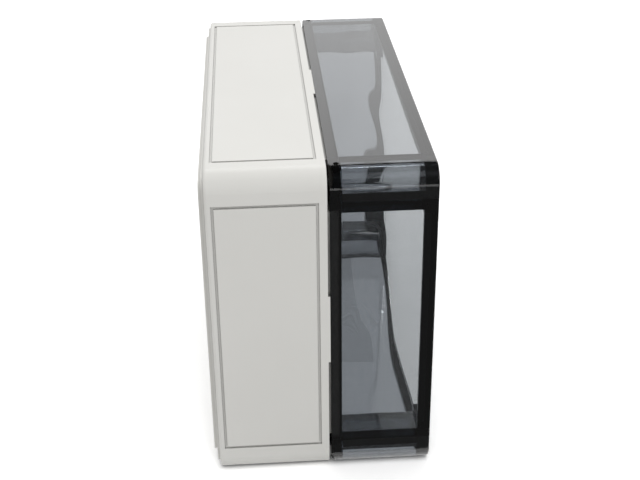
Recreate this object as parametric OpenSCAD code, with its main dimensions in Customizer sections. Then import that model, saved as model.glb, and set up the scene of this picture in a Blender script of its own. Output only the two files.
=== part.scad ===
// Wall and rail enclosure: a light grey base housing with a smoked, see-through lid.
// The box stands on its lower side wall. X is its width, Z its height, and Y its depth,
// with the back towards +Y and the lid towards -Y. The origin is under the middle of the box.

/* [Box] */
// Width of the box
box_w = 254; // [200:1:360]
// Height of the box
box_h = 180; // [150:1:260]
// Radius of the four upright corners
corner_r = 10; // [9:0.5:12]
// Gap between the base rim and the lid rim
seam_gap = 1.2; // [0.8:0.1:2]

/* [Base housing] */
// Depth of the base, from its back plane to its rim
base_d = 60.2; // [45:0.1:90]
// Thickness of the base side walls
base_wall = 3.4; // [3:0.1:4.4]
// Thickness of the base floor outside the raised back panel
base_floor = 2; // [1.8:0.1:4]
// Radius of the base's back edge
base_edge_r = 1.6; // [0.6:0.1:2]
// How far the raised back panel stands proud
back_panel_h = 3; // [1.5:0.1:3.5]
// Distance of the raised back panel from the box sides
back_panel_inset = 8; // [7.5:0.1:9]
// Corner radius of the raised back panel
back_panel_r = 6; // [3:0.5:8]
// Height of the thin step around the raised back panel
back_step_h = 1.2; // [0.6:0.1:1.4]
// Width of the thin step around the raised back panel
back_step_w = 4.5; // [2:0.1:5]

/* [Side fields] */
// Distance of the grooved fields from the box corners
field_end = 16.4; // [14:0.1:24]
// Distance of the grooved fields from the back plane
field_back = 3; // [2.5:0.1:9]
// Distance of the grooved fields from the base rim
field_front = 4.1; // [3:0.1:9]
// Width of the field groove
field_groove_w = 1.5; // [0.8:0.1:2]
// Depth of the field groove
field_groove_d = 0.9; // [0.3:0.1:1.2]

/* [Rim and seal] */
// Thickness of the tongue on the base rim
tongue_t = 1.6; // [1.2:0.1:1.8]
// Room between the tongue and each side of the seal groove
tongue_side_gap = 0.6; // [0.4:0.1:0.8]
// Depth of the seal groove in the lid rim
groove_d = 4.4; // [3.8:0.1:4.6]
// Height of the seal in its groove
seal_h = 2; // [1.4:0.1:2.4]
// Room between the seal and the groove's sides
seal_side_gap = 0.1; // [0.05:0.05:0.2]
// Room between the tongue's tip and the seal
tongue_tip_gap = 0.3; // [0.2:0.05:0.5]
// Length of the spacer tab in the middle of each rim side
tab_len = 40; // [20:1:60]
// Room between the spacer tabs and the lid rim
tab_gap = 0.1; // [0.05:0.05:0.3]

/* [Lid] */
// Depth of the lid, from its rim to its face
lid_d = 54.3; // [40:0.5:80]
// Thickness of the lid's side walls
lid_wall = 2.7; // [2.2:0.1:3.2]
// Thickness of the lid's face
lid_face = 3; // [2.4:0.1:4]
// Radius of the lid's face edge
lid_edge_r = 1; // [0.6:0.1:1.6]
// Thickness of the lip on the inner side of the seal groove
inner_lip_t = 1.6; // [1.2:0.1:2.4]
// Height of the thick band behind the lid rim
rim_band_h = 5.9; // [5.4:0.1:8]
// Height of the thick band behind the lid face
face_band_h = 6.9; // [5:0.1:9]
// Depth of the scallops in the lid rim's corners
scallop_d = 2; // [0.6:0.1:2.2]
// Width of the scallops in the lid rim's corners
scallop_w = 14; // [10:0.5:16]

/* [Corner posts] */
// Width of the corner posts, before a wall thickness is added
post_w = 17.2; // [16.8:0.1:20]
// Height of the corner posts, before a wall thickness is added
post_h = 20.3; // [20:0.1:26]
// Radius of the corner posts' inner edge
post_r = 3; // [1:0.5:5]
// Distance of the screwdriver wells' inner walls from the box's sides
well_w = 17.2; // [15.6:0.1:17.4]
// Height of the well floor above the lid rim
well_floor = 6.4; // [6:0.1:9]
// Radius of the wall-screw shafts in the base posts
shaft_r = 3.6; // [3:0.1:3.7]
// Distance of the wall screws from the box's left and right sides
wall_screw_in_x = 11.6; // [11:0.1:11.8]
// Distance of the wall screws from the box's upper and lower sides
wall_screw_in_z = 17.6; // [17.4:0.1:18]
// Radius of the wall-screw holes in the floor
wall_hole_r = 2.25; // [1.8:0.05:2.6]

/* [Lid screws] */
// Distance of the lid screws from the box sides
screw_in = 10; // [9.8:0.1:10.2]
// Radius of the screw shank
shank_r = 2; // [1.6:0.1:2.2]
// Depth that the screw reaches into the base post
screw_reach = 14; // [8:0.5:24]
// Radius of the screw head
head_r = 4.2; // [3.8:0.1:4.4]
// Height of the screw head
head_h = 3.6; // [3:0.1:4.2]
// Width of the slot in the screw head
slot_w = 1.2; // [0.8:0.1:1.6]
// Depth of the slot in the screw head
slot_d = 1.8; // [1:0.1:2.2]
// Radius of the cross hole for a seal wire in the screw head
head_hole_r = 0.6; // [0.4:0.1:0.7]
// Radius of the hole for the seal wire in the lid's corner
wire_r = 1.5; // [0.8:0.1:1.6]
// Distance of the seal-wire hole from the lid rim
wire_in = 3.9; // [3.6:0.1:4.2]
// Thickness of the web that the screw head bears on
web_t = 1.4; // [1.2:0.1:1.8]
// Radial room of the head in its pocket
head_gap = 0.6; // [0.4:0.1:0.7]
// Running clearance of the shank in the web
shank_gap = 0.08; // [0.02:0.01:0.1]
// Radial room of the shank in the base post
post_bore_gap = 0.3; // [0.2:0.05:0.5]
// Thickness of the sealing ring under the head
ring_t = 0.9; // [0.6:0.1:1.2]
// Room at each side of the sealing ring
ring_gap = 0.1; // [0.05:0.05:0.2]

/* [Rail] */
// Distance of the rail's ends from the box's left and right sides
rail_end = 24.5; // [21:0.5:50]
// Overall width of the top-hat rail
rail_w = 35; // [35:1:36]
// Height of the top-hat rail
rail_h = 7.5; // [7:0.5:15]
// Sheet thickness of the rail
rail_t = 1; // [0.8:0.1:1.5]
// Outside width of the rail's channel
rail_channel_w = 27; // [26:0.5:28]
// Outer bend radius of the rail
rail_bend_r = 1.6; // [1.6:0.1:2]
// Length of the rail slots
rail_slot_len = 18; // [12:1:20]
// Width of the rail slots
rail_slot_w = 6.2; // [5.2:0.1:6.4]
// Pitch of the rail slots
rail_pitch = 25; // [24:1:36]
// Height of the rail bosses on the floor
rail_boss_h = 9; // [6:0.5:14]
// Radius of the rail bosses
rail_boss_r = 6; // [5:0.5:8]
// Radius of the rail screws' shanks
rail_screw_r = 2; // [1.5:0.1:2.4]
// Length of the rail screws' shanks
rail_screw_len = 8; // [6:0.5:10]
// Radius of the rail screws' heads
rail_head_r = 4.4; // [4:0.1:5]
// Height of the rail screws' heads
rail_head_h = 2.6; // [2:0.1:3.4]
// Distance between the rail and the head, where nothing is clamped
rail_screw_gap = 0.05; // [0.02:0.01:0.1]

/* [Floor bosses] */
// Radius of the plate bosses on the floor
plate_boss_r = 4; // [3.5:0.1:6]
// Height of the plate bosses on the floor
plate_boss_h = 8; // [5:0.5:12]
// Radius of the pilot holes in the plate bosses
plate_pilot_r = 1.6; // [1:0.1:2]
// Distance of the plate bosses from the box's left and right sides
plate_in_x = 32; // [26:1:45]
// Distance of the plate bosses from the box's upper and lower sides
plate_in_z = 14; // [12:1:30]
// Thickness of the gussets that brace the bosses
gusset_t = 1.6; // [1.2:0.1:2.4]

/* [Hidden] */
$fn = 48;
cut = 1;

// Depths are counted from the back plane, towards the lid.
total_d = back_panel_h + base_d + seam_gap + lid_d;
back_y = total_d / 2 - back_panel_h;
rim_d = base_d + seam_gap;
face_d = rim_d + lid_d;

// Insets are counted from the box's sides, along the seal line.
tongue_i = base_wall - tongue_t;
groove_i = tongue_i - tongue_side_gap;
groove_end_i = base_wall + tongue_side_gap;
band_i = groove_end_i + inner_lip_t;
tongue_h = seam_gap + groove_d - seal_h - tongue_tip_gap;

// The four corners, in the order of the numbered screws.
CORNERS = [[-1, 1], [1, 1], [1, -1], [-1, -1]];
function screw_x(c) = c[0] * (box_w / 2 - screw_in);
function screw_z(c) = box_h / 2 + c[1] * (box_h / 2 - screw_in);
function wall_screw_x(c) = c[0] * (box_w / 2 - wall_screw_in_x);
function wall_screw_z(c) = box_h / 2 + c[1] * (box_h / 2 - wall_screw_in_z);

pocket_r = head_r + head_gap;
ring_r = head_r - ring_gap;
scallop_r = (pow(scallop_w / 2, 2) + pow(scallop_d, 2)) / (2 * scallop_d);
rail_floor_d = base_floor + rail_boss_h;
rail_len = box_w - 2 * rail_end;
rail_slots = floor((rail_len - rail_slot_len - 2 * rail_t) / rail_pitch) + 1;
rail_screw_x = (rail_slots - 1) / 2 * rail_pitch;

// Extrudes a shape drawn in X and Z, from one depth to another.
module slab(from, to) {
    translate([0, back_y - from, 0]) rotate([90, 0, 0]) linear_extrude(to - from) children();
}

// Stands a round bar along the depth, from one depth to another.
module bar(x, z, from, to, r) {
    translate([x, back_y - from, z]) rotate([90, 0, 0]) cylinder(h = to - from, r = r);
}

// A rectangle with round corners, centred on the box's middle line.
module rounded(w, h, r) {
    translate([0, box_h / 2]) {
        square([w - 2 * r, h], center = true);
        square([w, h - 2 * r], center = true);
        for (c = CORNERS) translate([c[0] * (w / 2 - r), c[1] * (h / 2 - r)]) circle(r);
    }
}

// The box's outline, moved in from its sides.
module outline(inset) {
    rounded(box_w - 2 * inset, box_h - 2 * inset, corner_r - min(inset, corner_r - 1));
}

// One corner's post, seen from the front, with its inner edge rounded.
module post_outline(w, h) {
    square([w - post_r, h]);
    square([w, h - post_r]);
    translate([w - post_r, h - post_r]) circle(post_r);
}

// Places a shape at a corner of the box, turned towards the middle.
module at_corner(c) {
    translate([c[0] * box_w / 2, box_h / 2 + c[1] * box_h / 2])
        mirror([c[0] > 0 ? 1 : 0, 0]) mirror([0, c[1] > 0 ? 1 : 0]) children();
}

// The room inside the seal line: the outline without its four corner posts.
module sealed_room(inset) {
    difference() {
        outline(inset);
        for (c = CORNERS) at_corner(c) post_outline(post_w + inset, post_h + inset);
    }
}

// A closed ring that follows the seal line between two insets.
module seal_ring(inset_out, inset_in) {
    difference() {
        sealed_room(inset_out);
        sealed_room(inset_in);
    }
}

// A slab of the box's outline whose edge at one depth is rounded.
module soft_slab(sharp, soft, r) {
    dir = soft > sharp ? 1 : -1;
    edge = soft - dir * r;
    slab(min(sharp, edge), max(sharp, edge)) outline(0);
    slab(min(edge, soft), max(edge, soft)) outline(r);
    for (s = [-1, 1]) {
        translate([-box_w / 2 + corner_r, back_y - edge, box_h / 2 + s * (box_h / 2 - r)])
            rotate([0, 90, 0]) cylinder(h = box_w - 2 * corner_r, r = r);
        translate([s * (box_w / 2 - r), back_y - edge, corner_r])
            cylinder(h = box_h - 2 * corner_r, r = r);
    }
    for (c = CORNERS)
        translate([c[0] * (box_w / 2 - corner_r), back_y - edge, box_h / 2 + c[1] * (box_h / 2 - corner_r)])
            rotate([90, 0, 0]) rotate_extrude() translate([corner_r - r, 0]) circle(r);
}

// The grooved field on a side that runs along X, and on one that runs along Z.
module field_ring(len, depth) {
    linear_extrude(2 * field_groove_d, center = true) difference() {
        square([len, depth], center = true);
        square([len - 2 * field_groove_w, depth - 2 * field_groove_w], center = true);
    }
}

module field_grooves() {
    depth = base_d - field_back - field_front;
    mid_y = back_y - field_back - depth / 2;
    for (z = [0, box_h])
        translate([0, mid_y, z]) field_ring(box_w - 2 * field_end, depth);
    for (s = [-1, 1])
        translate([s * box_w / 2, mid_y, box_h / 2]) rotate([0, 90, 0])
            field_ring(box_h - 2 * field_end, depth);
}

// Tabs on the base rim that keep the lid at its gap.
module spacer_tabs() {
    h = seam_gap - tab_gap;
    intersection() {
        slab(base_d - cut, base_d + h) difference() {
            outline(0);
            outline(tongue_i);
        }
        slab(base_d - cut, base_d + h) translate([0, box_h / 2]) {
            square([tab_len, 2 * box_h], center = true);
            square([2 * box_w, tab_len], center = true);
        }
    }
}

// Bosses on the floor for the rail and for a mounting plate, with gussets.
module floor_bosses() {
    for (s = [-1, 1]) {
        bar(s * rail_screw_x, box_h / 2, base_floor - cut, rail_floor_d, rail_boss_r);
        slab(base_floor - cut, rail_floor_d - cut) translate([s * rail_screw_x, box_h / 2])
            square([gusset_t, rail_channel_w], center = true);
        for (t = [-1, 1]) {
            x = s * (box_w / 2 - plate_in_x);
            z = box_h / 2 + t * (box_h / 2 - plate_in_z);
            bar(x, z, base_floor - cut, base_floor + plate_boss_h, plate_boss_r);
            slab(base_floor - cut, base_floor + plate_boss_h - cut)
                translate([x - gusset_t / 2, t > 0 ? z : cut]) square([gusset_t, plate_in_z - cut]);
        }
    }
}

module boss_holes() {
    for (s = [-1, 1]) {
        bar(s * rail_screw_x, box_h / 2, base_floor, rail_floor_d + cut, rail_screw_r + rail_screw_gap);
        for (t = [-1, 1])
            bar(s * (box_w / 2 - plate_in_x), box_h / 2 + t * (box_h / 2 - plate_in_z),
                base_floor, base_floor + plate_boss_h + cut, plate_pilot_r);
    }
}

// The base: a deep tray with corner posts outside its seal line, and a tongue on its rim.
module base_housing() color([0.88, 0.88, 0.86]) difference() {
    union() {
        difference() {
            soft_slab(base_d, 0, base_edge_r);
            slab(base_floor, base_d + cut) sealed_room(base_wall);
        }
        slab(-back_step_h, cut) outline_panel(back_panel_inset - back_step_w);
        slab(-back_panel_h, cut) outline_panel(back_panel_inset);
        slab(base_d - cut, base_d + tongue_h) seal_ring(tongue_i, base_wall);
        spacer_tabs();
        floor_bosses();
    }
    boss_holes();
    field_grooves();
    for (c = CORNERS) {
        bar(screw_x(c), screw_z(c), base_d - screw_reach - cut, base_d + cut, shank_r + post_bore_gap);
        bar(wall_screw_x(c), wall_screw_z(c), base_floor, base_d + cut, shaft_r);
        bar(wall_screw_x(c), wall_screw_z(c), -back_panel_h - cut, base_floor + cut, wall_hole_r);
    }
}

// The raised panel on the back.
module outline_panel(inset) {
    rounded(box_w - 2 * inset, box_h - 2 * inset, back_panel_r);
}

// Scoops the lid rim away at its four rounded corners.
module corner_scallops() {
    for (c = CORNERS)
        translate([c[0] * (box_w / 2 - corner_r), back_y - rim_d - scallop_d + scallop_r,
                box_h / 2 + c[1] * (box_h / 2 - corner_r)])
            rotate([0, -c[1] * (90 - 45 * c[0]), 0]) translate([corner_r * cos(45) - 0.1, 0, 0])
                rotate([0, 90, 0]) cylinder(h = corner_r, r = scallop_r);
}

// The well, the head pocket, the shank hole and the wire hole of one lid corner.
module screw_cuts(c) {
    slab(rim_d + well_floor, face_d + cut) intersection() {
        outline(lid_wall);
        at_corner(c) post_outline(well_w, well_w);
    }
    bar(screw_x(c), screw_z(c), rim_d + web_t, rim_d + well_floor + cut, pocket_r);
    bar(screw_x(c), screw_z(c), rim_d - cut, rim_d + web_t + cut, shank_r + shank_gap);
    translate([screw_x(c), back_y - rim_d - wire_in, screw_z(c)])
        rotate([c[1] > 0 ? 0 : 180, 0, 0]) cylinder(h = screw_in + cut, r = wire_r);
}

// The lid: a deep smoked tray with thick bands at its rim and face, and a well in each corner.
module lid() color([0.30, 0.31, 0.33, 0.6]) difference() {
    soft_slab(rim_d, face_d, lid_edge_r);
    slab(rim_d - cut, face_d - lid_face) sealed_room(band_i);
    slab(rim_d + rim_band_h, face_d - face_band_h) sealed_room(lid_wall);
    slab(rim_d - cut, rim_d + groove_d) seal_ring(groove_i, groove_end_i);
    corner_scallops();
    for (c = CORNERS) screw_cuts(c);
}

// The foamed seal at the bottom of the lid's groove.
module lid_gasket() color([0.12, 0.12, 0.12])
    slab(rim_d + groove_d - seal_h, rim_d + groove_d)
        seal_ring(groove_i + seal_side_gap, groove_end_i - seal_side_gap);

// A captive lid screw with a slotted head that is cross-drilled for a seal wire.
module lid_screw(c) color([0.25, 0.25, 0.26]) {
    head_from = rim_d + web_t + ring_t;
    difference() {
        union() {
            bar(screw_x(c), screw_z(c), head_from, head_from + head_h, head_r);
            bar(screw_x(c), screw_z(c), base_d - screw_reach, head_from + cut, shank_r);
        }
        translate([screw_x(c), back_y - head_from - head_h, screw_z(c)])
            cube([slot_w, 2 * slot_d, 2 * head_r + cut], center = true);
        translate([screw_x(c), back_y - head_from - (head_h - slot_d) / 2, screw_z(c)])
            cylinder(h = 2 * head_r + cut, r = head_hole_r, center = true);
    }
}

// The sealing ring that keeps the screw captive in its web.
module screw_ring(c) color([0.10, 0.10, 0.10]) difference() {
    bar(screw_x(c), screw_z(c), rim_d + web_t, rim_d + web_t + ring_t, ring_r);
    bar(screw_x(c), screw_z(c), rim_d + web_t - cut, rim_d + web_t + ring_t + cut, shank_r + shank_gap);
}

// Half of the rail's top-hat section, drawn with its web on the X axis.
module rail_half() {
    r = rail_bend_r;
    web = rail_channel_w / 2;
    difference() {
        union() {
            square([web - r, rail_t]);
            translate([web - r, r]) circle(r);
            translate([web - rail_t, r]) square([rail_t, rail_h - 2 * r]);
            translate([web - rail_t + r, rail_h - r]) circle(r);
            translate([web - rail_t + r, rail_h - rail_t]) square([rail_w / 2 - web + rail_t - r, rail_t]);
        }
        translate([web - r, r]) circle(r - rail_t);
        translate([web - 2 * r, r]) square([2 * r - rail_t, r]);
        translate([web - 2 * r, rail_t]) square([r, r]);
        translate([web - rail_t + r, rail_h - r]) circle(r - rail_t);
        translate([web, rail_h - 3 * r]) square([2 * r, 2 * r]);
        translate([web - rail_t + r, rail_h - 2 * r]) square([r, 2 * r - rail_t]);
    }
}

// The slotted top-hat rail across the floor.
module din_rail() color([0.75, 0.76, 0.77])
    translate([0, back_y - rail_floor_d, box_h / 2]) difference() {
        rotate([90, 0, 0]) rotate([90, 0, 90]) linear_extrude(rail_len, center = true) {
            rail_half();
            mirror([1, 0]) rail_half();
        }
        for (i = [0 : rail_slots - 1])
            translate([(i - (rail_slots - 1) / 2) * rail_pitch, cut, 0]) rotate([90, 0, 0])
                linear_extrude(rail_t + 2 * cut) {
                    square([rail_slot_len - rail_slot_w, rail_slot_w], center = true);
                    for (s = [-1, 1]) translate([s * (rail_slot_len - rail_slot_w) / 2, 0])
                        circle(rail_slot_w / 2);
                }
    }

// A pan-head screw that holds the rail on its boss.
module rail_screw(x) color([0.70, 0.71, 0.72]) {
    seat = rail_floor_d + rail_t;
    difference() {
        union() {
            bar(x, box_h / 2, seat, seat + rail_head_h, rail_head_r);
            bar(x, box_h / 2, rail_floor_d + rail_t - rail_screw_len, seat + cut, rail_screw_r);
        }
        for (a = [0, 90])
            translate([x, back_y - seat - rail_head_h, box_h / 2]) rotate([0, a, 0])
                cube([slot_w, 2 * slot_d, rail_head_r], center = true);
    }
}

base_housing();
lid();
lid_gasket();
for (i = [0 : 3]) {
    lid_screw(CORNERS[i]);
    screw_ring(CORNERS[i]);
}
din_rail();
rail_screw(-rail_screw_x);  // rail_screw_left
rail_screw(rail_screw_x);  // rail_screw_right
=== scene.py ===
# %% [markdown]
# # A rail enclosure with a smoked lid
# The box has two mouldings: an opaque light grey base and a deep see-through lid. The packed
# model already has every piece at its real size, so this lesson is about finish: how satin and
# clear plastics, foam, rubber and zinc are made from shader nodes, and how small repeated forms
# such as screw threads are grown with Geometry Nodes.

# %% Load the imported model
import math

import bmesh
import bpy
import mathutils
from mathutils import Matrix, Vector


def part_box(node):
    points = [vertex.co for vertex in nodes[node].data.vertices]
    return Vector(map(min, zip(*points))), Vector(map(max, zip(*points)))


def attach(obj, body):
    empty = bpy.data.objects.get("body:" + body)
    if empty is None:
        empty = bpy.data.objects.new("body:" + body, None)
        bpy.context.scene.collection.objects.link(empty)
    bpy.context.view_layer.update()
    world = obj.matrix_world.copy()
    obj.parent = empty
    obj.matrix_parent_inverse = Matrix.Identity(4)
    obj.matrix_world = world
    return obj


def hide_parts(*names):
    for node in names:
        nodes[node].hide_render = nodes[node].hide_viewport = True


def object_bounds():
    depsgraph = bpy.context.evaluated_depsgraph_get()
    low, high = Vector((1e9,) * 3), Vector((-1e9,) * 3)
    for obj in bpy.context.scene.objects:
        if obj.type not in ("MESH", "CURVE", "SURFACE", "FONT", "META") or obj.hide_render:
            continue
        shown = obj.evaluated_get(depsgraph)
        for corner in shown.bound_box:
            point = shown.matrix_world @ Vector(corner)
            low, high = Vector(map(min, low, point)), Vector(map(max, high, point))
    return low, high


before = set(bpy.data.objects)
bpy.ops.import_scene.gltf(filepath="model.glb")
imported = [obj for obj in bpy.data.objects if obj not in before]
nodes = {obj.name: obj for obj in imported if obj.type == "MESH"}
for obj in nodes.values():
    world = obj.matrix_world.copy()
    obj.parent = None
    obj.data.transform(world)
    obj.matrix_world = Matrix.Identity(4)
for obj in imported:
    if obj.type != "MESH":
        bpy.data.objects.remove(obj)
box_low, box_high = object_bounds()
MM = 0.001

# %% [markdown]
# The camera comes first, because every finish is judged from it. It stands to the left of the box
# and looks down along its width, a little over the base, with a short telephoto lens. Its place
# is counted from the middle of the box's left side, so that it follows the box.

# %% Place the camera
CAMERA_BACK = 0.505
CAMERA_ASIDE = 0.031
CAMERA_UP = 0.232
CAMERA_HEADING = math.radians(-3.52)
CAMERA_PITCH = math.radians(27.98)
CAMERA_ROLL = math.radians(0.71)
LENS_MM = 64.8


def camera_turn(heading, pitch, roll):
    """The rotation of a camera that looks along +X, turned, pitched down and rolled."""
    ahead = mathutils.Vector((math.cos(pitch), 0, -math.sin(pitch)))
    ahead.rotate(mathutils.Euler((0, 0, heading)))
    level = mathutils.Vector((0, -1, 0))
    level.rotate(mathutils.Euler((0, 0, heading)))
    down = ahead.cross(level)
    right = level * math.cos(roll) + down * math.sin(roll)
    up = level * math.sin(roll) - down * math.cos(roll)
    return mathutils.Matrix((right, up, -ahead)).transposed().to_euler()


camera = bpy.data.objects.new("camera", bpy.data.cameras.new("camera"))
camera.data.lens = LENS_MM
camera.data.sensor_width = 36
camera.location = (box_low[0] - CAMERA_BACK, CAMERA_ASIDE, box_high[2] + CAMERA_UP)
camera.rotation_euler = camera_turn(CAMERA_HEADING, CAMERA_PITCH, CAMERA_ROLL)
bpy.context.scene.collection.objects.link(camera)
bpy.context.scene.camera = camera
print("the camera stands at", [round(c, 3) for c in camera.location])

# %% [markdown]
# Every finish below is a small tree of shader nodes. Three helpers keep the trees short: one
# starts a material, one adds a node with its inputs set, and one makes a bump from a pattern.
# Patterns read Object coordinates, so they stay on the piece wherever it is moved.

# %% Helpers for materials


def new_finish(name, **inputs):
    """A material with one Principled shader, and its tree."""
    material = bpy.data.materials.new(name)
    material.use_nodes = True
    shader = material.node_tree.nodes["Principled BSDF"]
    for socket, value in inputs.items():
        shader.inputs[socket.replace("_", " ")].default_value = value
    return material, material.node_tree, shader


def add(tree, kind, links=(), **inputs):
    """A node of that kind, with plain values on its inputs and links into them."""
    node = tree.nodes.new("ShaderNode" + kind)
    for socket, value in inputs.items():
        node.inputs[socket.replace("_", " ")].default_value = value
    for socket, source in links:
        tree.links.new(source, node.inputs[socket])
    return node


def object_coordinates(tree, scale=(1, 1, 1)):
    """The piece's own coordinates in metres, stretched by scale."""
    place = add(tree, "TexCoord")
    stretch = add(tree, "Mapping", [("Vector", place.outputs["Object"])], Scale=scale)
    return stretch.outputs["Vector"]


def pattern_bump(tree, shader, height, distance, strength=1.0, under=None):
    """Raises the surface by a pattern, on top of an earlier bump if there is one."""
    links = [("Height", height)]
    if under is not None:
        links.append(("Normal", under.outputs["Normal"]))
    bump = add(tree, "Bump", links, Strength=strength, Distance=distance)
    tree.links.new(bump.outputs["Normal"], shader.inputs["Normal"])
    return bump


def ramp_between(tree, source, stops):
    """A colour ramp with stops of (place, colour)."""
    ramp = add(tree, "ValToRGB", [("Fac", source)])
    elements = ramp.color_ramp.elements
    while len(elements) < len(stops):
        elements.new(1)
    for element, (place, colour) in zip(elements, stops):
        element.position = place
        element.color = colour
    return ramp.outputs["Color"]


def grey(r, g, b):
    return (r, g, b, 1)


def dress(node_names, material):
    """Gives CAD nodes one finish."""
    for name in node_names:
        mesh = nodes[name].data
        mesh.materials.clear()
        mesh.materials.append(material)


print("the helpers for finishes are ready")

# %% [markdown]
# The base is moulded in a light warm grey. Its steel mould was lightly spark-eroded, which leaves
# a satin surface with a grain far finer than a millimetre. A noise drives a slight change in
# colour and roughness, and a finer one the bump. The narrow grooves and the gap under the lid lie
# in shade, and that shade is painted into the colour: it is darkened where another surface is
# very close, to almost black in the narrowest gaps. A texture painted by hand could do the same,
# but nodes fit any size of box.

# %% The base's satin grey plastic
# How far out from a close surface the painted shade reaches.
SHADE_REACH = 2.5 * MM
GRAIN_DEPTH = 0.02 * MM


def make_housing_plastic():
    """Satin plastic with a fine grain, and painted shade in its grooves and gaps."""
    material, tree, shader = new_finish(
        "housing_plastic", Roughness=0.42, IOR=1.52, Specular_IOR_Level=0.42)
    place = object_coordinates(tree)
    cloud = add(tree, "TexNoise", [("Vector", place)], Scale=14.0, Detail=3.0)
    colour = ramp_between(tree, cloud.outputs["Fac"], [
        (0.30, grey(0.745, 0.738, 0.705)), (0.70, grey(0.765, 0.758, 0.726))])
    # Painted shade: the colour is darkened where another surface is close, as in grooves and the
    # seam gap.
    shade_ao = add(tree, "AmbientOcclusion", Distance=SHADE_REACH)
    shade_ao.samples = 8
    painted_groove_shade = ramp_between(tree, shade_ao.outputs["AO"], [
        (0.20, grey(0.04, 0.04, 0.04)), (0.50, grey(0.84, 0.84, 0.84)), (0.92, grey(1, 1, 1))])
    shaded_colour = add(tree, "MixRGB", [("Color1", colour), ("Color2", painted_groove_shade)], Fac=1.0)
    shaded_colour.blend_type = "MULTIPLY"
    tree.links.new(shaded_colour.outputs["Color"], shader.inputs["Base Color"])
    patch = add(tree, "TexNoise", [("Vector", place)], Scale=60.0, Detail=4.0)
    shine = add(tree, "MapRange", [("Value", patch.outputs["Fac"])], To_Min=0.38, To_Max=0.50)
    tree.links.new(shine.outputs["Result"], shader.inputs["Roughness"])
    grain = add(tree, "TexNoise", [("Vector", place)], Scale=1900.0, Detail=2.0)
    pattern_bump(tree, shader, grain.outputs["Fac"], GRAIN_DEPTH, 0.5)
    return material


dress(["base_housing"], make_housing_plastic())
print("the base has its satin plastic")

# %% [markdown]
# The lid is clear plastic with a smoke-grey tint. A real tint sits in the whole thickness, not on
# the surface, so a thin window looks light and a band seen edge on looks almost black. Volume
# absorption does just that: the shader bends and mirrors light at the surface, and the colour
# comes from the length of the way through the wall. The face plate is the broad pane that one
# looks through, so it has its tint on its two sides, where it is easier to set. Moulding leaves
# slow waves on the inner side of a wall. They bend what is seen behind it, but a wave that is the
# same on both sides would cancel out, so only inner faces have it.

# %% The lid's smoked clear plastic
SMOKE_COLOUR = (0.085, 0.135, 0.19, 1)
SMOKE_DENSITY = 285.0
RIPPLE_DEPTH = 1.1 * MM
RIPPLE_SCALE = 16.0
RIPPLE_STRETCH = (0.6, 3, 1)


def rippled(tree, shader):
    """The slow waves that moulding leaves on the inner side of a clear wall."""
    place = object_coordinates(tree, RIPPLE_STRETCH)
    waves = add(tree, "TexNoise", [("Vector", place)], Scale=RIPPLE_SCALE, Detail=0.0)
    inner = add(tree, "Attribute")
    inner.attribute_name = "inner_side"
    height = add(tree, "Math", [(0, waves.outputs["Fac"]), (1, inner.outputs["Fac"])])
    height.operation = "MULTIPLY"
    pattern_bump(tree, shader, height.outputs[0], RIPPLE_DEPTH)


def make_smoked_plastic():
    """Clear plastic with its tint in its thickness."""
    material, tree, shader = new_finish(
        "smoked_plastic", Base_Color=grey(1, 1, 1), Roughness=0.0, IOR=1.58,
        Transmission_Weight=1.0, Coat_Weight=0.6, Coat_Roughness=0.02, Coat_IOR=1.5)
    rippled(tree, shader)
    smoke = add(tree, "VolumeAbsorption", Color=SMOKE_COLOUR, Density=SMOKE_DENSITY)
    tree.links.new(smoke.outputs["Volume"], tree.nodes["Material Output"].inputs["Volume"])
    return material


def make_smoked_face():
    """The face plate: the same tint, set on its two sides, and clearer at a glancing look."""
    material, tree, shader = new_finish(
        "smoked_face", Roughness=0.0, IOR=1.01, Transmission_Weight=1.0,
        Coat_Roughness=0.02, Coat_IOR=1.5)
    glance = add(tree, "LayerWeight", Blend=0.5)
    tint = ramp_between(tree, glance.outputs["Facing"], [
        (0.35, grey(0.60, 0.63, 0.65)), (0.80, grey(0.985, 0.99, 0.975))])
    tree.links.new(tint, shader.inputs["Base Color"])
    gloss = add(tree, "MapRange", [("Value", glance.outputs["Facing"])],
                From_Min=0.35, From_Max=0.80, To_Min=0.8, To_Max=0.0)
    tree.links.new(gloss.outputs["Result"], shader.inputs["Coat Weight"])
    rippled(tree, shader)
    return material


smoked_plastic = make_smoked_plastic()
smoked_face = make_smoked_face()
print("the lid has", smoked_plastic.name, "in its walls and", smoked_face.name, "in its face")

# %% [markdown]
# The lid's windows are clear, but the bands along its rim and its face look almost black and
# frame each window: the plastic is thicker there, and little light finds its way out. Tracing
# light through such a band is slow and noisy, so that shade is painted instead: an opaque dark
# matt skin on the inner faces of the bands and on the flat sides of the corner wells gives the
# same look from every side.

# %% The skin of painted shade inside the bands
SKIN_GRAIN = 0.03 * MM


def make_painted_shade_skin():
    """A dark matt skin of painted shade for the inner side of the lid's bands."""
    material, tree, shader = new_finish("painted_shade_band", Roughness=0.28, Specular_IOR_Level=0.2)
    place = object_coordinates(tree)
    grain = add(tree, "TexNoise", [("Vector", place)], Scale=700.0, Detail=3.0)
    # Painted shade: near black, for the little light that leaves a thick band.
    colour = ramp_between(tree, grain.outputs["Fac"], [
        (0.35, grey(0.013, 0.012, 0.011)), (0.65, grey(0.019, 0.018, 0.016))])
    tree.links.new(colour, shader.inputs["Base Color"])
    pattern_bump(tree, shader, grain.outputs["Fac"], SKIN_GRAIN, 0.4)
    return material


painted_shade_skin = make_painted_shade_skin()
print("the bands have their skin,", painted_shade_skin.name)

# %% [markdown]
# Which faces of the lid belong to a band is a matter of where they lie. The rim and face bands
# are slices of the lid's depth, and the wells stand behind its corners. The helpers here measure
# a face's place from the lid's own box and from the rounded outline, so they hold for every wall
# and corner at once. Picking faces by number would break with the next change to the part.

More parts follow.
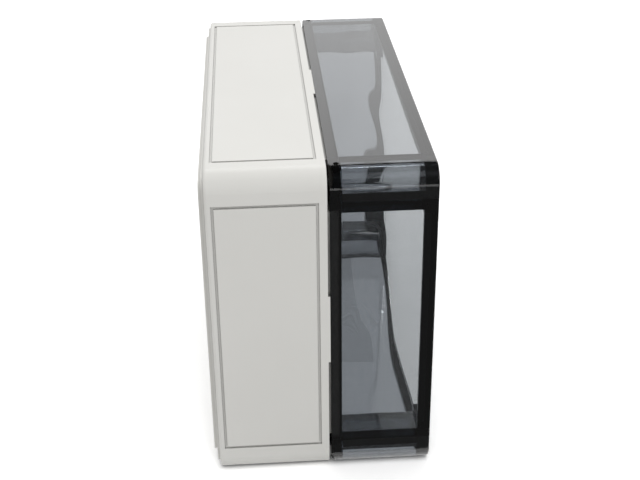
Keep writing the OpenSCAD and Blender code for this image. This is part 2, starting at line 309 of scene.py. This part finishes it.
# %% Find the lid's bands by place
RIM_BAND = 5.9 * MM
FACE_BAND = 6.9 * MM
FACE_T = 3 * MM
OUTER_SKIN = 1.15 * MM
WELL_W = 17.2 * MM
# The painted shade on a well's flat sides starts this far in from the outline.
WELL_CLEAR = 12.6 * MM
LID_WALL = 2.7 * MM
CORNER_R = 10 * MM
TINY = 0.1 * MM
lid_low, lid_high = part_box("lid")
MIDDLE_Z = (box_low[2] + box_high[2]) / 2


def inset(point):
    """How far a point lies in from the box's rounded outline, seen from the front."""
    across = box_high[0] - abs(point.x)
    upright = (box_high[2] - box_low[2]) / 2 - abs(point.z - MIDDLE_Z)
    if across < CORNER_R and upright < CORNER_R:
        return CORNER_R - math.hypot(CORNER_R - across, CORNER_R - upright)
    return min(across, upright)


def in_a_band(face):
    """Whether a face of the lid is on the inner side of its rim band or its face band."""
    centre = face.calc_center_median()
    from_rim = lid_high[1] - centre.y
    from_face = centre.y - lid_low[1]
    if abs(face.normal.y) > 0.9:
        return from_rim < RIM_BAND + TINY or abs(from_face - FACE_BAND) < TINY
    return inset(centre) > OUTER_SKIN and (from_rim < RIM_BAND or from_face < FACE_BAND)


def on_a_well(face):
    """Whether a face of the lid is a flat side of a screwdriver well, next to the lid's wall."""
    centre = face.calc_center_median()
    across = box_high[0] - abs(centre.x)
    upright = (box_high[2] - box_low[2]) / 2 - abs(centre.z - MIDDLE_Z)
    flat = max(abs(face.normal.x), abs(face.normal.z)) > 0.999
    beside = WELL_CLEAR < max(across, upright) < WELL_W
    on_wall = min(across, upright) < LID_WALL + TINY
    return flat and beside and on_wall and inset(centre) > OUTER_SKIN


def in_the_face(face):
    """Whether a face of the lid is one of the two sides of its face plate."""
    from_face = face.calc_center_median().y - lid_low[1]
    return abs(face.normal.y) > 0.9 and from_face < FACE_T + TINY


print("the lid is", round((lid_high[1] - lid_low[1]) / MM, 1), "mm deep")

# %% [markdown]
# Moulded edges are never razor sharp. The CAD lid has true edges, so these helpers work on a
# copy: they join its loose triangles, melt the flat ones together and round every sharp edge by
# a quarter of a millimetre. Those small roundings catch the bright lines along the lid. Clear
# plastic shows every wrong normal, so flat faces stay flat and only the curved ones are smooth.

# %% Helpers to round edges and cut faces
EDGE_R = 0.25 * MM
SHARP = math.radians(35)


def softened(node_name, width):
    """A CAD node's mesh with joined faces and rounded edges, open for more work."""
    form = bmesh.new()
    form.from_mesh(nodes[node_name].data)
    bmesh.ops.remove_doubles(form, verts=form.verts, dist=0.002 * MM)
    bmesh.ops.dissolve_limit(form, angle_limit=math.radians(0.3),
                             verts=form.verts, edges=form.edges)
    sharp = [edge for edge in form.edges if edge.is_manifold and edge.calc_face_angle() > SHARP]
    bmesh.ops.bevel(form, geom=sharp, offset=width, offset_type="OFFSET", segments=2, profile=0.5,
                    affect="EDGES", clamp_overlap=True)
    return form


def finished(form, name, materials):
    """A new piece from an open mesh, flat on its planes and smooth on its curves."""
    bmesh.ops.triangulate(form, faces=form.faces)
    for face in form.faces:
        face.smooth = max(abs(c) for c in face.normal) < 0.99999
    for edge in form.edges:
        edge.smooth = not edge.is_manifold or edge.calc_face_angle() < SHARP / 2
    mesh = bpy.data.meshes.new(name)
    form.to_mesh(mesh)
    form.free()
    for material in materials:
        mesh.materials.append(material)
    piece = bpy.data.objects.new(name, mesh)
    bpy.context.scene.collection.objects.link(piece)
    return piece


def cut_at(form, place, normal):
    """Cuts the faces of a mesh along a plane."""
    bmesh.ops.bisect_plane(form, geom=form.verts[:] + form.edges[:] + form.faces[:],
                           plane_co=place, plane_no=normal)


print("edges over", round(math.degrees(SHARP)), "degrees get a rounding of", EDGE_R / MM, "mm")

# %% [markdown]
# The dressed lid takes the place of the plain one and rides on the same body. Its walls are cut
# where a band or a well ends, so that each finish stops at a straight line. A value on each face
# says whether it is on the inner side, and the ripple of the clear plastic reads that value.

# %% Dress the lid
form = softened("lid", EDGE_R)
inner_side = form.faces.layers.float.new("inner_side")
cut_at(form, (0, lid_high[1] - RIM_BAND, 0), (0, 1, 0))
cut_at(form, (0, lid_low[1] + FACE_BAND, 0), (0, 1, 0))
for side in (-1, 1):
    cut_at(form, (side * (box_high[0] - WELL_CLEAR), 0, 0), (1, 0, 0))
    cut_at(form, (0, 0, MIDDLE_Z + side * (box_high[2] - MIDDLE_Z - WELL_CLEAR)), (0, 0, 1))
# Faces of the bands and of the wells' flat sides get the skin of painted shade.
painted_shade_faces = [face for face in form.faces if in_a_band(face) or on_a_well(face)]
for face in painted_shade_faces:
    face.material_index = 1
for face in form.faces:
    centre = face.calc_center_median()
    face[inner_side] = float(inset(centre) > OUTER_SKIN and centre.y > lid_low[1] + OUTER_SKIN)
    if in_the_face(face):
        face.material_index = 2
print(len(painted_shade_faces), "of the lid's", len(form.faces), "faces are in its bands")
lid = finished(form, "smoked_lid", [smoked_plastic, painted_shade_skin, smoked_face])
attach(lid, "lid")
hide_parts("lid")

# %% [markdown]
# The seal, the sealing rings and the screws are dark and mostly hidden, but they show through the
# smoked rim. The foam is dull with open pores, the rings are smooth rubber, and the screws are
# moulded with a faint grain. All three are the same tree with other numbers, so one helper makes
# them.

# %% Dark rubber, foam and screw plastic


def make_dark(name, low, high, roughness, pore_scale, pore_depth):
    """A dark finish with pores or grain of one size."""
    material, tree, shader = new_finish(name, Roughness=roughness)
    place = object_coordinates(tree)
    pores = add(tree, "TexNoise", [("Vector", place)], Scale=pore_scale, Detail=3.0)
    colour = ramp_between(tree, pores.outputs["Fac"], [(0.35, grey(*low)), (0.65, grey(*high))])
    tree.links.new(colour, shader.inputs["Base Color"])
    pattern_bump(tree, shader, pores.outputs["Fac"], pore_depth, 0.6)
    return material


SCREWS = [f"lid_screw_{n}" for n in (1, 2, 3, 4)]
RINGS = [f"screw_ring_{n}" for n in (1, 2, 3, 4)]
seal_foam = make_dark("seal_foam", (0.010, 0.010, 0.011), (0.022, 0.022, 0.023),
                      0.85, 1400, 0.12 * MM)
ring_rubber = make_dark("ring_rubber", (0.014, 0.014, 0.014), (0.020, 0.020, 0.020),
                        0.55, 500, 0.02 * MM)
screw_plastic = make_dark("screw_plastic", (0.050, 0.051, 0.053), (0.060, 0.061, 0.063),
                          0.40, 900, 0.02 * MM)
dress(["lid_gasket"], seal_foam)
dress(RINGS, ring_rubber)
dress(SCREWS, screw_plastic)
print("the seal,", len(RINGS), "rings and", len(SCREWS), "screws are dark")

# %% [markdown]
# The lid screws are moulded with a coarse rounded thread that bites into the posts of the base.
# A thread is one small profile swept along a helix, which is exactly what two curve nodes and
# Curve to Mesh do, so a tree of Geometry Nodes grows it from a few named sizes. Modelling one
# turn and copying it would leave a seam at each turn.

# %% A tree that grows a thread
THREAD_R = 2.0 * MM
THREAD_RIDGE = 0.2 * MM
THREAD_LENGTH = 12 * MM
THREAD_TURNS = 11.0
THREAD_SIZES = {"Helix radius": THREAD_R, "Ridge radius": THREAD_RIDGE,
                "Thread length": THREAD_LENGTH, "Turns": THREAD_TURNS}


def make_thread_tree(material):
    """A tree that sweeps a small circle along a helix, with its sizes as named inputs."""
    tree = bpy.data.node_groups.new("screw_thread", "GeometryNodeTree")
    for name, value in THREAD_SIZES.items():
        socket = tree.interface.new_socket(name, in_out="INPUT", socket_type="NodeSocketFloat")
        socket.default_value = value
    tree.interface.new_socket("Geometry", in_out="OUTPUT", socket_type="NodeSocketGeometry")
    sizes = tree.nodes.new("NodeGroupInput")
    helix = tree.nodes.new("GeometryNodeCurveSpiral")
    helix.inputs["Resolution"].default_value = 20
    ridge = tree.nodes.new("GeometryNodeCurvePrimitiveCircle")
    ridge.inputs["Resolution"].default_value = 6
    sweep = tree.nodes.new("GeometryNodeCurveToMesh")
    sweep.inputs["Fill Caps"].default_value = True
    whole = tree.nodes.new("GeometryNodeRealizeInstances")
    paint = tree.nodes.new("GeometryNodeSetMaterial")
    paint.inputs["Material"].default_value = material
    end = tree.nodes.new("NodeGroupOutput")
    for source, target in (
            (sizes.outputs["Helix radius"], helix.inputs["Start Radius"]),
            (sizes.outputs["Helix radius"], helix.inputs["End Radius"]),
            (sizes.outputs["Thread length"], helix.inputs["Height"]),
            (sizes.outputs["Turns"], helix.inputs["Rotations"]),
            (sizes.outputs["Ridge radius"], ridge.inputs["Radius"]),
            (helix.outputs["Curve"], sweep.inputs["Curve"]),
            (ridge.outputs["Curve"], sweep.inputs["Profile Curve"]),
            (sweep.outputs["Mesh"], whole.inputs["Geometry"]),
            (whole.outputs["Geometry"], paint.inputs["Geometry"]),
            (paint.outputs["Geometry"], end.inputs["Geometry"])):
        tree.links.new(source, target)
    return tree


thread_tree = make_thread_tree(screw_plastic)
print("the thread tree has", len(thread_tree.nodes), "nodes")

# %% [markdown]
# A tree runs as a modifier on an empty mesh. Its result is kept as a plain mesh, turned to lie
# along the screw and set just below the screw's tip. Each screw gets its own thread, which turns
# and lifts with it.

# %% Grow a thread on each lid screw
THREAD_START = 0.6 * MM


def grown(tree, name, sizes, place):
    """Runs a tree with its sizes set by socket, and keeps the result as a plain mesh."""
    seed = bpy.data.objects.new(name + "_seed", bpy.data.meshes.new(name + "_seed"))
    bpy.context.scene.collection.objects.link(seed)
    modifier = seed.modifiers.new("grow", "NODES")
    modifier.node_group = tree
    for item in tree.interface.items_tree:
        if item.item_type == "SOCKET" and item.in_out == "INPUT":
            modifier[item.identifier] = sizes[item.name]
    evaluated = seed.evaluated_get(bpy.context.evaluated_depsgraph_get())
    mesh = bpy.data.meshes.new_from_object(evaluated)
    seed.modifiers.remove(modifier)
    bpy.data.objects.remove(seed)
    mesh.transform(place)
    piece = bpy.data.objects.new(name, mesh)
    bpy.context.scene.collection.objects.link(piece)
    return piece


for screw in SCREWS:
    low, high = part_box(screw)
    tip = mathutils.Vector(
        ((low[0] + high[0]) / 2, high[1] - THREAD_START, (low[2] + high[2]) / 2))
    turn = mathutils.Matrix.Rotation(math.radians(90), 4, "X")
    place = mathutils.Matrix.Translation(tip) @ turn
    thread = grown(thread_tree, "thread_of_" + screw, THREAD_SIZES, place)
    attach(thread, screw)
print("each thread has", len(thread.data.polygons), "faces")

# %% [markdown]
# The rail and its screws are zinc plated. Plating is metal with a slightly cloudy, bluish skin,
# and rolled sheet keeps faint lines along its length. A noise stretched along X gives the lines,
# and a Voronoi pattern the cloudiness of the plating.

# %% Zinc plating
LINE_DEPTH = 0.02 * MM
RAIL_LINES = (40, 2500, 2500)
SCREW_LINES = (900, 900, 900)


def make_zinc(name, line_stretch):
    """Cloudy zinc plating on sheet or wire whose drawn lines are stretched that way."""
    material, tree, shader = new_finish(name, Metallic=1.0)
    place = object_coordinates(tree, line_stretch)
    lines = add(tree, "TexNoise", [("Vector", place)], Scale=1.0, Detail=3.0)
    spangle = add(tree, "TexVoronoi", [("Vector", object_coordinates(tree))], Scale=220.0)
    colour = ramp_between(tree, spangle.outputs["Distance"], [
        (0.1, grey(0.56, 0.57, 0.59)), (0.9, grey(0.66, 0.67, 0.69))])
    tree.links.new(colour, shader.inputs["Base Color"])
    shine = add(tree, "MapRange", [("Value", lines.outputs["Fac"])], To_Min=0.26, To_Max=0.44)
    tree.links.new(shine.outputs["Result"], shader.inputs["Roughness"])
    pattern_bump(tree, shader, lines.outputs["Fac"], LINE_DEPTH, 0.4)
    return material


RAIL_SCREWS = ["rail_screw_left", "rail_screw_right"]
dress(["din_rail"], make_zinc("rail_zinc", RAIL_LINES))
dress(RAIL_SCREWS, make_zinc("rail_screw_zinc", SCREW_LINES))
print("the rail and its", len(RAIL_SCREWS), "screws are zinc plated")

# %% [markdown]
# The room is a plain pale floor under a white sky. The light that falls on the box is softer
# than what is seen: rays that come straight from the camera, from a mirror image or through
# clear plastic find a white sky, and all other light comes from one of half that strength. One
# strong white sky would wash out the box.

# %% Sky
SKY_LIGHT = 0.50


def ray_is(tree, *kinds):
    """1 where a ray is of one of these kinds, and 0 for other light."""
    rays = add(tree, "LightPath")
    found = rays.outputs[kinds[0]]
    for kind in kinds[1:]:
        either = add(tree, "Math", [(0, found), (1, rays.outputs[kind])])
        either.operation = "MAXIMUM"
        found = either.outputs[0]
    return found


def make_sky():
    """A world that is white to look at and softer as a light."""
    sky = bpy.data.worlds.new("sky")
    sky.use_nodes = True
    tree = sky.node_tree
    light = tree.nodes["Background"]
    light.inputs["Color"].default_value = grey(1.0, 1.0, 1.0)
    seen = ray_is(tree, "Is Camera Ray", "Is Glossy Ray", "Is Transmission Ray")
    strength = add(tree, "MapRange", [("Value", seen)], To_Min=SKY_LIGHT, To_Max=1.0)
    tree.links.new(strength.outputs["Result"], light.inputs["Strength"])
    bpy.context.scene.world = sky


make_sky()
print("the sky lights the box at", SKY_LIGHT)

# %% [markdown]
# The floor is pale paper that keeps the box's own soft shadow. It looks lighter to the camera
# than it is to other light, so that it blends into the white sky. Seen by a mirror image or
# through the lid it is partly a plain white glow, so that clear walls show a white room.

# %% Floor
FLOOR_COLOUR = 0.82
FLOOR_SEEN = 1.45
FLOOR_THROUGH = 1.12
FLOOR_GLOW = 0.5
FLOOR_SIZE = 8.0


def make_floor():
    """A white floor that the camera, mirror images and clear plastic see brighter."""
    bpy.ops.mesh.primitive_plane_add(size=FLOOR_SIZE)
    floor = bpy.context.object
    floor.name = "floor"
    material = bpy.data.materials.new("floor_white")
    material.use_nodes = True
    tree = material.node_tree
    tree.nodes.remove(tree.nodes["Principled BSDF"])
    through = ray_is(tree, "Is Glossy Ray", "Is Transmission Ray")
    mirrored = add(tree, "MapRange", [("Value", through)],
                   To_Min=FLOOR_COLOUR, To_Max=FLOOR_THROUGH)
    seen = ray_is(tree, "Is Camera Ray")
    shade = add(tree, "MapRange", [("Value", seen), ("To Min", mirrored.outputs[0])],
                To_Max=FLOOR_SEEN)
    paper = add(tree, "BsdfDiffuse", [("Color", shade.outputs["Result"])])
    white = add(tree, "Emission", Strength=1.0)
    share = add(tree, "MapRange", [("Value", through)], To_Max=FLOOR_GLOW)
    either = add(tree, "MixShader", [(0, share.outputs["Result"]), (1, paper.outputs["BSDF"]),
                                     (2, white.outputs["Emission"])])
    tree.links.new(either.outputs["Shader"], tree.nodes["Material Output"].inputs["Surface"])
    floor.data.materials.append(material)


make_floor()
print("the floor is", FLOOR_SIZE, "m wide")

# %% [markdown]
# A clear wall mirrors the room, so the room has to hold what a studio holds. One broad lamp
# overhead gives the light its direction, and a narrow strip behind the box draws thin bright
# lines on its roundings. Dark cards on the floor, behind the camera and above are seen by mirror
# images alone. Without them the lid's black bands would mirror white paper and look grey.

# %% Lamps and cards


def make_lamp(name, place, size, power):
    """A soft lamp of that size that looks at the box; lamps are ovals of (width, length)."""
    lamp = bpy.data.objects.new(name, bpy.data.lights.new(name, "AREA"))
    lamp.data.shape = "ELLIPSE"
    lamp.data.size, lamp.data.size_y = size
    lamp.data.energy = power
    lamp.location = place
    lamp.rotation_euler = mathutils.Vector(place).to_track_quat("Z", "Y").to_euler()
    bpy.context.scene.collection.objects.link(lamp)
    return lamp


def make_card(name, place, size, shade, tilt=0.0):
    """A plain card that only mirror images show."""
    bpy.ops.mesh.primitive_plane_add(size=1.0, location=place, rotation=(0, tilt, 0))
    card = bpy.context.object
    card.name = name
    card.scale = (size[0], size[1], 1)
    material = bpy.data.materials.new(name)
    material.use_nodes = True
    tree = material.node_tree
    tree.nodes.remove(tree.nodes["Principled BSDF"])
    glow = add(tree, "Emission", Color=grey(shade, shade, shade))
    tree.links.new(glow.outputs["Emission"], tree.nodes["Material Output"].inputs["Surface"])
    card.data.materials.append(material)
    card.visible_camera = False
    card.visible_diffuse = False
    card.visible_transmission = False
    card.visible_shadow = False


CARD_RISE, CARD_RUN = 1.3, 2.05
make_card("floor_card", (box_low[0] - 0.24, 0, 0.001), (0.46, 1.6), 0.10)
make_card("rear_card", (-1.975, 0, CARD_RISE / 2), (2.43, 4.0), 0.03,
          math.atan2(CARD_RISE, CARD_RUN))
make_card("ceiling_card", (-1.0, 0, CARD_RISE), (4.0, 4.0), 0.03)
key = make_lamp("key", (-1.0, -0.2, 1.9), (1.6, 1.6), 18)
key.visible_glossy = False
strip = make_lamp("rear_strip", (1.15, 0, 1.6), (1.4, 0.14), 9)
print("the lamps give", key.data.energy, "and", strip.data.energy, "W")

# %% [markdown]
# Light crosses many walls of clear plastic before it leaves the lid, so it may bounce more often
# than usual. A ray that is stopped too soon comes back black. Colours are shown as they are, with
# the plain Standard view.

# %% Set the view and the bounces
BOUNCES = 24
scene = bpy.context.scene
scene.view_settings.view_transform = "Standard"
scene.cycles.max_bounces = BOUNCES
scene.cycles.transmission_bounces = BOUNCES
scene.cycles.transparent_max_bounces = BOUNCES
